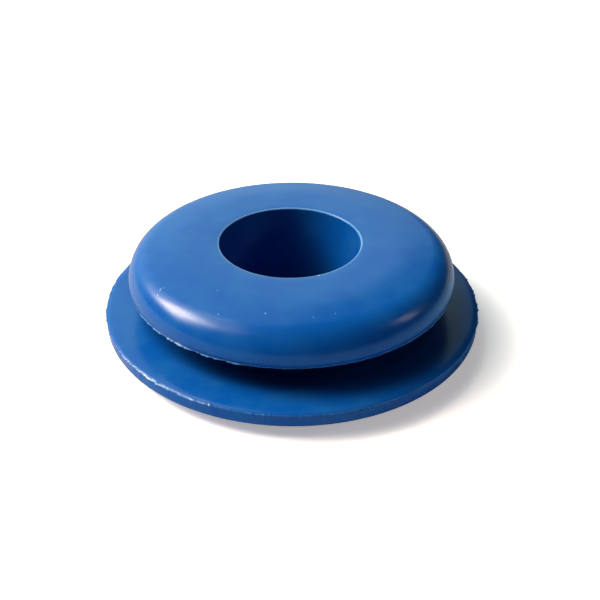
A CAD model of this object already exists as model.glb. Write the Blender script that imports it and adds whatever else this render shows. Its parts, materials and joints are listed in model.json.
import json
from math import atan2, cos, degrees, hypot, radians, sin

import bpy
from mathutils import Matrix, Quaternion, Vector, noise


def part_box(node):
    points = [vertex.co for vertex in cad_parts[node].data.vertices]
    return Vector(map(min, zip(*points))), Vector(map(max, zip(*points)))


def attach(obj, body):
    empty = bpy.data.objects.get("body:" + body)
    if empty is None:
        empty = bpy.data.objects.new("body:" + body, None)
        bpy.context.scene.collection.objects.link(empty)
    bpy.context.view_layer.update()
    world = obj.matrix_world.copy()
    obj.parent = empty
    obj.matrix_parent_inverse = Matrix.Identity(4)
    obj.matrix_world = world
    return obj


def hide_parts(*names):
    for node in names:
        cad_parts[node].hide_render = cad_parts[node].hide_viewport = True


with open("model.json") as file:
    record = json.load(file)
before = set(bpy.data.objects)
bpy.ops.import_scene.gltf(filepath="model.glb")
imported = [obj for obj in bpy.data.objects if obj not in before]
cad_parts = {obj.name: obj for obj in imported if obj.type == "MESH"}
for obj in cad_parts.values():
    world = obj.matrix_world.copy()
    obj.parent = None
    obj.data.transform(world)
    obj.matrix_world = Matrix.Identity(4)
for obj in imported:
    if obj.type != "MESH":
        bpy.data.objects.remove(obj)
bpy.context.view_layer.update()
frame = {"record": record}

# ---------------------------------------------------------------------------
# Camera. It stands in front of the seal, a hand's width away and about 34
# degrees up, so the near side of the ring looks clearly larger than the far.
view_distance = 0.100
view_elevation = radians(34.2)
view_pitch = radians(33.14)
view_yaw = radians(-4.03)
view_roll = radians(-2.14)
sensor_width = 36
lens_length = 50.02
lens_shift = (0.0992, 0.0008)
nearest_seen = 0.002
farthest_seen = 20

scene = bpy.context.scene
scene.view_settings.view_transform = "Standard"
camera_data = bpy.data.cameras.new("camera")
camera_data.sensor_width = sensor_width
camera_data.lens = lens_length
camera_data.shift_x, camera_data.shift_y = lens_shift
camera_data.clip_start = nearest_seen
camera_data.clip_end = farthest_seen
camera = bpy.data.objects.new("camera", camera_data)
scene.collection.objects.link(camera)
scene.camera = camera
camera.location = (
    0,
    -view_distance * cos(view_elevation),
    view_distance * sin(view_elevation),
)
line_of_sight = Vector((
    sin(view_yaw) * cos(view_pitch),
    cos(view_yaw) * cos(view_pitch),
    -sin(view_pitch),
))
aim = line_of_sight.to_track_quat("-Z", "Y") @ Quaternion((0, 0, 1), view_roll)
camera.rotation_euler = aim.to_euler()

# ---------------------------------------------------------------------------
# Floor. One wide sheet of matt white card under the seal, which shows as white
# and takes the seal's soft shadow. What it throws back at the rubber is dimmer,
# cool from the front and the right, and nothing from inside the bore.
card_size = 6
card_seen = (1, 0.96, 0.95, 1)
card_lift = 0.38
card_back = (0.50, 0.51, 0.49, 1)
card_front = (0.28, 0.58, 0.80, 1)
back_left = (-0.5, 0.866, 0)
front_to_back = (-0.02, 0.01)
bore_to_open = (0.0065, 0.0095)


def new_material(name):
    material = bpy.data.materials.new(name)
    material.use_nodes = True
    material.node_tree.nodes.clear()
    return material, material.node_tree


def add_node(tree, kind, **settings):
    node = tree.nodes.new(kind)
    for key, value in settings.items():
        setattr(node, key, value)
    return node


def fill(tree, socket, value):
    """Link a socket to what another node gives out, or set it to a plain value."""
    if isinstance(value, bpy.types.NodeSocket):
        tree.links.new(value, socket)
    else:
        socket.default_value = value


def add_math(tree, operation, *values):
    node = add_node(tree, "ShaderNodeMath", operation=operation)
    for socket, value in zip(node.inputs, values):
        fill(tree, socket, value)
    return node.outputs["Value"]


def add_vector_math(tree, operation, result, *values):
    node = add_node(tree, "ShaderNodeVectorMath", operation=operation)
    for socket, value in zip(node.inputs, values):
        fill(tree, socket, value)
    return node.outputs[result]


def add_map(tree, value, low_in, high_in, low_out=0, high_out=1):
    """A smooth ramp from one range of values to another."""
    node = add_node(tree, "ShaderNodeMapRange", interpolation_type="SMOOTHSTEP")
    node.inputs["From Min"].default_value = low_in
    node.inputs["From Max"].default_value = high_in
    node.inputs["To Min"].default_value = low_out
    node.inputs["To Max"].default_value = high_out
    tree.links.new(value, node.inputs["Value"])
    return node.outputs["Result"]


def add_colour_mix(tree, amount, first, second):
    """Inputs 6 and 7 of a Mix node are its two colours, and output 2 their mix."""
    node = add_node(tree, "ShaderNodeMix", data_type="RGBA")
    fill(tree, node.inputs["Factor"], amount)
    fill(tree, node.inputs[6], first)
    fill(tree, node.inputs[7], second)
    return node.outputs[2]


def show_to_camera(tree, seen, thrown_back, output):
    """The camera sees the first shader, and all other rays meet the second."""
    rays = add_node(tree, "ShaderNodeLightPath")
    pick = add_node(tree, "ShaderNodeMixShader")
    tree.links.new(rays.outputs["Is Camera Ray"], pick.inputs["Fac"])
    tree.links.new(thrown_back, pick.inputs[1])
    tree.links.new(seen, pick.inputs[2])
    tree.links.new(pick.outputs["Shader"], output.inputs["Surface"])


bpy.ops.object.select_all(action="DESELECT")
bpy.ops.mesh.primitive_plane_add(size=card_size, location=(0, 0, 0))
card = bpy.context.object
card.name = "card_floor"

card_material, tree = new_material("white_card")
output = add_node(tree, "ShaderNodeOutputMaterial")
seen = add_node(tree, "ShaderNodeBsdfPrincipled")
seen.inputs["Base Color"].default_value = card_seen
seen.inputs["Roughness"].default_value = 1
seen.inputs["Specular IOR Level"].default_value = 0
seen.inputs["Emission Color"].default_value = card_seen
seen.inputs["Emission Strength"].default_value = card_lift
place = add_node(tree, "ShaderNodeTexCoord").outputs["Object"]
backness = add_vector_math(tree, "DOT_PRODUCT", "Value", place, back_left)
shade = add_colour_mix(tree, add_map(tree, backness, *front_to_back), card_front, card_back)
from_centre = add_vector_math(tree, "LENGTH", "Value", place)
darken = add_node(tree, "ShaderNodeVectorMath", operation="SCALE")
tree.links.new(shade, darken.inputs["Vector"])
tree.links.new(add_map(tree, from_centre, *bore_to_open), darken.inputs["Scale"])
thrown_back = add_node(tree, "ShaderNodeBsdfDiffuse")
tree.links.new(darken.outputs["Vector"], thrown_back.inputs["Color"])
show_to_camera(tree, seen.outputs["BSDF"], thrown_back.outputs["BSDF"], output)
card.data.materials.append(card_material)

# ---------------------------------------------------------------------------
# Light. A large soft box stands to the left and a little behind, a narrow card
# to the right throws a faint glint, and the room is brightest behind the seal.
light_distance = 0.6
# Name, bearing, height, width, power and colour of each part of the soft box.
# Bearings here are in degrees clockwise from straight behind the seal.
soft_box_parts = (
    ("soft_box_core", -80, 42.5, 0.19, 2.3, (1.0, 0.80, 0.58)),
    ("soft_box_middle", -82, 43, 0.32, 3.3, (1.0, 0.93, 0.86)),
    ("soft_box_rim", -80, 48, 0.56, 2.1, (0.98, 0.98, 0.97)),
)
glint_bearing = 94
glint_height = 27
glint_size = (0.10, 0.18)
glint_power = 0.19
glint_colour = (1, 1, 1)
room_bearing = -20
room_height = 32
room_ramp = (0.64, 0.94)
# The glow is cut off where the room turns towards this direction.
room_edge = (0.677, 0.235, 0.698)
room_edge_ramp = (0.775, 0.65)
room_dim = 0.015
room_bright = 1.05
room_colour = (0.68, 0.98, 0.96, 1)
backdrop_colour = (0.8, 0.8, 0.8, 1)


def toward(bearing_deg, height_deg):
    """The direction from the seal to a light at that bearing and height."""
    bearing = radians(bearing_deg)
    height = radians(height_deg)
    return Vector((sin(bearing) * cos(height), cos(bearing) * cos(height), sin(height)))


def add_area_light(name, bearing_deg, height_deg, size, power, colour):
    """A flat light that faces the seal from the light distance."""
    data = bpy.data.lights.new(name, "AREA")
    data.shape = "RECTANGLE"
    data.size, data.size_y = size
    data.energy = power
    data.color = colour
    light = bpy.data.objects.new(name, data)
    scene.collection.objects.link(light)
    direction = toward(bearing_deg, height_deg)
    light.location = direction * light_distance
    light.rotation_euler = (-direction).to_track_quat("-Z", "Y").to_euler()


for name, bearing_deg, height_deg, width, power, colour in soft_box_parts:
    add_area_light(name, bearing_deg, height_deg, (width, width), power, colour)
add_area_light(
    "glint_card", glint_bearing, glint_height, glint_size, glint_power, glint_colour
)

room = bpy.data.worlds.new("room")
scene.world = room
room.use_nodes = True
tree = room.node_tree
tree.nodes.clear()
output = add_node(tree, "ShaderNodeOutputWorld")
direction = add_node(tree, "ShaderNodeTexCoord").outputs["Generated"]
brightest = toward(room_bearing, room_height)
facing = add_vector_math(tree, "DOT_PRODUCT", "Value", direction, brightest)
across = add_vector_math(tree, "DOT_PRODUCT", "Value", direction, room_edge)
glow = add_math(
    tree, "MULTIPLY",
    add_map(tree, facing, *room_ramp), add_map(tree, across, *room_edge_ramp),
)
lit = add_node(tree, "ShaderNodeBackground")
lit.inputs["Color"].default_value = room_colour
strength = add_math(tree, "MULTIPLY_ADD", glow, room_bright, room_dim)
tree.links.new(strength, lit.inputs["Strength"])
backdrop = add_node(tree, "ShaderNodeBackground")
backdrop.inputs["Color"].default_value = backdrop_colour
show_to_camera(tree, backdrop.outputs["Background"], lit.outputs["Background"], output)

# ---------------------------------------------------------------------------
# Seal. One ring of blue rubber, moulded in a tool that splits at both edges of
# the groove, so a thin torn skin, the flash, stands round the lip and the flange.
# Its sizes below are in millimetres, and its angles in degrees.
mm = 0.001
bore_mount = next(m for m in frame["record"]["mounts"] if m["name"] == "bore")
bore_r = bore_mount["dims"]["r_mm"]
seal_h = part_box("seal")[1].z / mm
foot_chamfer = 0.4
mouth_round = 0.2
face_r = 12.5
face_fall = 0.35
face_ease_w = 1.6
face_ease_fall = 0.14
lip_r = 18.4
lip_z = 6.2
lip_round = 3.3
lip_bulge = 0.1
lip_fullness = 2.1
lip_tuck = 0.1
lip_turn = 84
lip_steps = 20
neck_r = 14.5
root_round = 0.8
root_run = 0.6
flange_r = 21.5
flange_t = 3.0
edge_fall = 0.17
edge_w = 0.85
edge_curve = ((0.16, 0.45), (0.32, 0.78), (0.55, 0.95))
rim_z = 1.5
rim_round = 0.4
base_r = 19.4
flash_t = 0.16
flash_out = 0.12
flash_foot = (0.04, 0.01)
flash_mark = 0.06
facets = 1260
merge_distance = 0.001
crease_angle = 40


def arc(centre_r, centre_z, radius, start, end, steps):
    """Points of a round stretch of the section, from one angle to the other."""
    points = []
    for i in range(steps + 1):
        a = radians(start + (end - start) * i / steps)
        points.append((centre_r + radius * cos(a), centre_z + radius * sin(a)))
    return points


def straight(start, end, steps):
    """Points that split a straight stretch evenly, without its last point."""
    return [
        (start[0] + (end[0] - start[0]) * i / steps, start[1] + (end[1] - start[1]) * i / steps)
        for i in range(steps)
    ]


shoulder_z = seal_h - face_fall
edge_z = flange_t - edge_fall
slope = degrees(atan2(rim_z, flange_r - base_r))
rim_centre_z = rim_z + rim_round * (1 - sin(radians(slope))) / cos(radians(slope))
root_r = neck_r + root_round

# The section, from the foot of the bore outwards, up round both flanges and
# back down the bore. Each flash is marked by two points that stand out a little.
section = [(bore_r, foot_chamfer), (bore_r + foot_chamfer, 0), (base_r, 0)]
section += arc(flange_r - rim_round, rim_centre_z, rim_round, slope - 90, 0, steps=5)
section += [(flange_r, edge_z - flash_t)]
section += [(flange_r + flash_mark, edge_z - share * flash_t) for share in (0.7, 0.25)]
section += [(flange_r - flash_foot[0], edge_z + flash_foot[1])]
section += [(flange_r - inward, edge_z + share * edge_fall) for inward, share in edge_curve]
section += straight((flange_r - edge_w, flange_t), (root_r, flange_t), steps=4)
section += arc(root_r, flange_t + root_round, root_round, 270, 180, steps=5)
section += arc(root_r, lip_z - root_round, root_round, 180, 90, steps=5)
section += straight((root_r + root_run, lip_z), (lip_r - lip_tuck, lip_z), steps=2)
section += [(lip_r - lip_tuck, lip_z)]
section += [(lip_r + flash_mark, lip_z + share * flash_t) for share in (0.1, 0.6)]
section += [(lip_r, lip_z + flash_t)]
for i in range(lip_steps + 1):
    a = radians(lip_turn * i / lip_steps)
    section.append((
        lip_r + lip_bulge - lip_round + lip_round * cos(a) ** (2 / lip_fullness),
        shoulder_z - lip_round + lip_round * sin(a) ** (2 / lip_fullness),
    ))
section += straight((face_r + face_ease_w, seal_h - face_ease_fall), (face_r, seal_h), steps=2)
section += straight((face_r, seal_h), (bore_r + mouth_round, seal_h), steps=4)
section += arc(bore_r + mouth_round, seal_h - mouth_round, mouth_round, 90, 180, steps=4)
section += straight((bore_r, seal_h - 2 * mouth_round), (bore_r, foot_chamfer), steps=3)

bpy.ops.object.select_all(action="DESELECT")
bpy.ops.mesh.primitive_circle_add(
    vertices=facets, radius=section[0][0] * mm, location=(0, 0, section[0][1] * mm)
)
seal = bpy.context.object
seal.name = "rubber_seal"
bpy.ops.object.transform_apply(location=True, rotation=True, scale=True)
bpy.ops.object.mode_set(mode="EDIT")
bpy.ops.mesh.select_all(action="SELECT")
for (r0, z0), (r1, z1) in zip(section, section[1:] + section[:1]):
    bpy.ops.mesh.extrude_edges_move()
    bpy.ops.transform.resize(value=(r1 / r0, r1 / r0, 1), center_override=(0, 0, 0))
    bpy.ops.transform.translate(value=(0, 0, (z1 - z0) * mm))
bpy.ops.mesh.select_all(action="SELECT")
bpy.ops.mesh.remove_doubles(threshold=merge_distance * mm)
bpy.ops.mesh.normals_make_consistent(inside=False)
bpy.ops.mesh.select_all(action="DESELECT")
bpy.ops.object.mode_set(mode="OBJECT")

# The flash is torn, not cut: most of it is a low ragged rim, with longer skin
# where the tool let more rubber through, and small nibs. A torn stretch is its
# first and last bearing and its share, and a nib its bearing and size. These
# bearings are in degrees anticlockwise from straight right.
flange_torn = ((-152, -110, 0.6), (148, 204, 0.8), (-20, 16, 0.85), (-104, -60, 0.35))
flange_nibs = (
    (-129.1, 1.0), (-111.4, 1.0), (-162.5, -1.4), (-100.2, 0.7), (-96.6, 0.7), (-79.5, 0.6),
    (-64.5, 0.6), (-143, 0.7), (-8, 0.8), (3, 0.9), (9.5, 0.7),
)
lip_torn = ((-152, -103, 1.0), (-103, -30, 0.45))
lip_nibs = (
    (-116.3, 1.0), (-110.4, -0.9), (-137, 0.8), (-127.5, 0.9), (-141.5, -0.6), (-64, 0.6),
)
least_torn = 0.2
torn_fade = 3
torn_mean = 0.4
long_wave = 0.9
short_wave = 0.34
short_share = 0.8
nib_reach = 0.55
flash_sunk = 0.03
flange_edge_lift = 0.07
flange_edge_wander = 0.06
lip_flash_share = 0.8
lip_flash_drop = 0.05


def ragged(turn, radius, length, seed):
    """Rise and fall along a ring, with waves about as long as the length."""
    return noise.noise(Vector((cos(turn), sin(turn), seed)) * (radius / length))


def tear(turn, stretches, nibs, radius):
    """How far the flash stands out at one bearing, from about 0 to 1."""
    bearing = degrees(turn)
    reach = least_torn
    for start, end, most in stretches:
        for b in (bearing, bearing + 360):
            inside = min(b - start, end - b)
            if inside > 0:
                reach = max(reach, most * min(1, inside / torn_fade))
    long_part = ragged(turn, radius, long_wave, seed=1.7)
    short_part = short_share * ragged(turn, radius, short_wave, seed=5.1)
    amount = reach * (torn_mean + long_part + short_part)
    for nib, size in nibs:
        amount += size * max(0, 1 - abs(bearing - nib) / nib_reach)
    return max(-0.5, min(1, amount))


# The rings to move are found by their places in the section.
for point in seal.data.vertices:
    r = hypot(point.co.x, point.co.y) / mm
    z = point.co.z / mm
    turn = atan2(point.co.y, point.co.x)
    new_r = r
    if r > flange_r + 0.5 * flash_mark:
        amount = tear(turn, flange_torn, flange_nibs, flange_r)
        new_r = flange_r - flash_sunk + (flash_out + flash_sunk) * amount
    elif edge_z + 0.005 < z < edge_z + 0.05 and r > base_r:
        amount = tear(turn, flange_torn, flange_nibs, flange_r)
        rise = amount + 0.3 * ragged(turn, flange_r, 0.25, seed=9.3)
        point.co.z += flange_edge_lift * mm * max(0, rise)
        new_r = r - flange_edge_wander * ragged(turn, flange_r, 1.3, seed=3.3)
    elif lip_z - 0.01 < z < lip_z + flash_t and r > lip_r + 0.5 * flash_mark:
        amount = tear(turn, lip_torn, lip_nibs, lip_r)
        new_r = lip_r + flash_sunk + lip_flash_share * flash_out * amount
        point.co.z -= lip_flash_drop * mm * amount
    point.co.x *= new_r / r
    point.co.y *= new_r / r
bpy.ops.object.shade_smooth_by_angle(angle=radians(crease_angle))

# Rubber. A satin moulded blue. The torn skin, and the edge of the bore where it
# is rubbed, are paler, the groove is a deeper blue, the surface is a little
# uneven, and a few specks lie on it.
rubber_colour = (0.0015, 0.080, 0.348, 1)
rubber_colour_worn = (0.006, 0.098, 0.36, 1)
groove_colour = (0.0008, 0.044, 0.19, 1)
thin_skin_colour = (0.13, 0.32, 0.62, 1)
rubbed_edge_colour = (0.12, 0.28, 0.55, 1)
dust_colour = (0.30, 0.52, 0.80, 1)
pit_colour = (0.004, 0.03, 0.12, 1)
rubber_ior = 1.39
rubber_roughness = (0.20, 0.25)
grain_roughness = 0.02
patch_scale = 260
grain_scale = 2600
swell_scale = 110
swell_depth = 0.05
grain_depth = 0.0012
mark_depth = 0.8
line_core = 0.55
line_end = 0.02
mark_core = 0.5
# Ranges of a noise, and where four numbers stand, the mask that they turn into.
worn_patches = (0.35, 0.68)
gloss_patches = (0.3, 0.7)
rough_grains = (0.55, 0.75)
flash_breaks = (0.34, 0.56, 0.25, 1)
rubbed_breaks = (0.3, 0.6, 0.6, 1)


def add_noise(tree, vector, scale, detail, roughness=0.5):
    node = add_node(tree, "ShaderNodeTexNoise")
    node.inputs["Scale"].default_value = scale
    node.inputs["Detail"].default_value = detail
    node.inputs["Roughness"].default_value = roughness
    tree.links.new(vector, node.inputs["Vector"])
    return node.outputs["Fac"]


def add_bump(tree, height, depth):
    node = add_node(tree, "ShaderNodeBump")
    node.inputs["Strength"].default_value = 1
    node.inputs["Distance"].default_value = depth * mm
    tree.links.new(height, node.inputs["Height"])
    return node


def add_flat_vector(tree, x, y):
    node = add_node(tree, "ShaderNodeCombineXYZ")
    tree.links.new(x, node.inputs["X"])
    tree.links.new(y, node.inputs["Y"])
    return node.outputs["Vector"]


def add_strongest(tree, masks):
    """One mask that is as strong at each place as the strongest of several."""
    strongest = masks[0]
    for mask in masks[1:]:
        strongest = add_math(tree, "MAXIMUM", strongest, mask)
    return strongest


def new_group(name, vectors, numbers, mask):
    """An empty node group that takes vectors and numbers, and gives out a mask."""
    group = bpy.data.node_groups.new(name, "ShaderNodeTree")
    for label in vectors:
        group.interface.new_socket(label, in_out="INPUT", socket_type="NodeSocketVector")
    for label in numbers:
        group.interface.new_socket(label, in_out="INPUT", socket_type="NodeSocketFloat")
    group.interface.new_socket(mask, in_out="OUTPUT", socket_type="NodeSocketFloat")
    given = add_node(group, "NodeGroupInput")
    result = add_node(group, "NodeGroupOutput")
    return group, given.outputs, result.inputs[mask]


# A thin line that runs round the seal along an edge, strong on one side of it.
edge_line, given, line = new_group(
    "edge_line", ("Vector", "Toward"),
    ("Radius", "Height", "Width", "Spread", "Elsewhere"), "Line",
)
parts = add_node(edge_line, "ShaderNodeSeparateXYZ")
edge_line.links.new(given["Vector"], parts.inputs["Vector"])
level = add_flat_vector(edge_line, parts.outputs["X"], parts.outputs["Y"])
out = add_vector_math(edge_line, "LENGTH", "Value", level)
away = add_flat_vector(
    edge_line,
    add_math(edge_line, "SUBTRACT", out, given["Radius"]),
    add_math(edge_line, "SUBTRACT", parts.outputs["Z"], given["Height"]),
)
far = add_vector_math(edge_line, "LENGTH", "Value", away)
across = add_math(edge_line, "DIVIDE", far, given["Width"])
near = add_map(edge_line, across, line_core, 1, 1, 0)
unit = add_vector_math(edge_line, "NORMALIZE", "Vector", level)
side = add_vector_math(edge_line, "DOT_PRODUCT", "Value", unit, given["Toward"])
strong = add_map(edge_line, add_math(edge_line, "SUBTRACT", side, given["Spread"]), 0, line_end)
share = add_math(edge_line, "MAXIMUM", strong, given["Elsewhere"])
edge_line.links.new(add_math(edge_line, "MULTIPLY", near, share), line)

# A speck or a short scratch: a small soft-edged oval at one place on the seal.
small_mark, given, mark = new_group(
    "small_mark", ("Vector", "Place", "Turn", "Size"), (), "Mark"
)
local = add_node(small_mark, "ShaderNodeMapping", vector_type="TEXTURE")
small_mark.links.new(given["Vector"], local.inputs["Vector"])
small_mark.links.new(given["Place"], local.inputs["Location"])
small_mark.links.new(given["Turn"], local.inputs["Rotation"])
small_mark.links.new(given["Size"], local.inputs["Scale"])
far = add_vector_math(small_mark, "LENGTH", "Value", local.outputs["Vector"])
small_mark.links.new(add_map(small_mark, far, mark_core, 1, 1, 0), mark)

rubber, tree = new_material("blue_rubber")
output = add_node(tree, "ShaderNodeOutputMaterial")
skin = add_node(tree, "ShaderNodeBsdfPrincipled")
skin.inputs["IOR"].default_value = rubber_ior
place = add_node(tree, "ShaderNodeTexCoord").outputs["Object"]
patches = add_noise(tree, place, patch_scale, detail=3, roughness=0.6)
grain = add_noise(tree, place, grain_scale, detail=2)
swell = add_noise(tree, place, swell_scale, detail=1)


def add_edge_line(radius, height, width, bearing=-90, spread=20, elsewhere=1):
    """A line that is strong within the spread of the bearing, both in degrees."""
    node = add_node(tree, "ShaderNodeGroup", node_tree=edge_line)
    tree.links.new(place, node.inputs["Vector"])
    node.inputs["Radius"].default_value = radius * mm
    node.inputs["Height"].default_value = height * mm
    node.inputs["Width"].default_value = width * mm
    node.inputs["Toward"].default_value = (cos(radians(bearing)), sin(radians(bearing)), 0)
    node.inputs["Spread"].default_value = cos(radians(spread))
    node.inputs["Elsewhere"].default_value = elsewhere
    return node.outputs["Line"]


def add_marks(marks):
    """The specks or scratches of one list: x, y, z, turn, length and width."""
    masks = []
    for x, y, z, turn, length, width in marks:
        node = add_node(tree, "ShaderNodeGroup", node_tree=small_mark)
        tree.links.new(place, node.inputs["Vector"])
        node.inputs["Place"].default_value = (x * mm, y * mm, z * mm)
        node.inputs["Turn"].default_value = (0, 0, radians(turn))
        node.inputs["Size"].default_value = (length / 2 * mm, width / 2 * mm, mark_depth * mm)
        masks.append(node.outputs["Mark"])
    return add_strongest(tree, masks)


flange_line = add_edge_line(
    flange_r - 0.01, edge_z - 0.02, 0.09, bearing=-131, spread=20, elsewhere=0.28
)
lip_line = add_edge_line(
    lip_r + 0.05, lip_z + 0.03, 0.11, bearing=-128, spread=24, elsewhere=0.28
)
fold_line = add_edge_line(
    flange_r - 0.36, edge_z + 0.8 * edge_fall, 0.09, bearing=-114.5, spread=5, elsewhere=0
)
flash_line = add_strongest(tree, (flange_line, lip_line, fold_line))
flash_line = add_math(tree, "MULTIPLY", flash_line, add_map(tree, grain, *flash_breaks))
# The same line, drawn wide, marks the groove, which keeps its deeper blue.
deep = add_edge_line(neck_r + 0.7, (flange_t + lip_z) / 2, 3.6)
rubbed = add_edge_line(bore_r + 0.12, seal_h - 0.02, 0.135)
rubbed = add_math(tree, "MULTIPLY", rubbed, add_map(tree, patches, *rubbed_breaks))
dust = add_marks((
    (-7.07, -14.27, 9.75, 20, 0.20, 0.13),
    (-2.38, -14.41, 9.97, 120, 0.30, 0.12),
    (-7.42, -10.49, 10.17, 0, 0.12, 0.12),
    (4.52, -14.29, 9.91, 0, 0.14, 0.12),
    (2.34, -14.96, 9.88, 40, 0.16, 0.10),
    (-13.52, -9.45, 9.5, 64, 0.62, 0.09),
    (-13.78, -10.05, 9.2, 84, 0.40, 0.08),
    (-13.15, -9.30, 9.6, 40, 0.20, 0.08),
    (3.05, -7.55, 10.2, 22, 0.34, 0.24),
))
pits = add_marks((
    (-11.14, -2.47, 10.2, 15, 0.30, 0.26),
    (-15.24, -4.72, 9.74, 0, 0.18, 0.16),
    (-11.73, -5.24, 10.17, 0, 0.16, 0.14),
))
worn = add_map(tree, patches, *worn_patches)
colour = add_colour_mix(tree, worn, rubber_colour, rubber_colour_worn)
colour = add_colour_mix(tree, deep, colour, groove_colour)
colour = add_colour_mix(tree, rubbed, colour, rubbed_edge_colour)
colour = add_colour_mix(tree, flash_line, colour, thin_skin_colour)
colour = add_colour_mix(tree, dust, colour, dust_colour)
colour = add_colour_mix(tree, pits, colour, pit_colour)
tree.links.new(colour, skin.inputs["Base Color"])
patch_gloss = add_map(tree, patches, *gloss_patches, *rubber_roughness)
grain_gloss = add_map(tree, grain, *rough_grains, 0, grain_roughness)
tree.links.new(add_math(tree, "ADD", patch_gloss, grain_gloss), skin.inputs["Roughness"])
waves = add_bump(tree, swell, swell_depth)
fine = add_bump(tree, grain, grain_depth)
tree.links.new(waves.outputs["Normal"], fine.inputs["Normal"])
tree.links.new(fine.outputs["Normal"], skin.inputs["Normal"])
tree.links.new(skin.outputs["BSDF"], output.inputs["Surface"])
seal.data.materials.append(rubber)

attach(seal, "root")
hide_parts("seal")
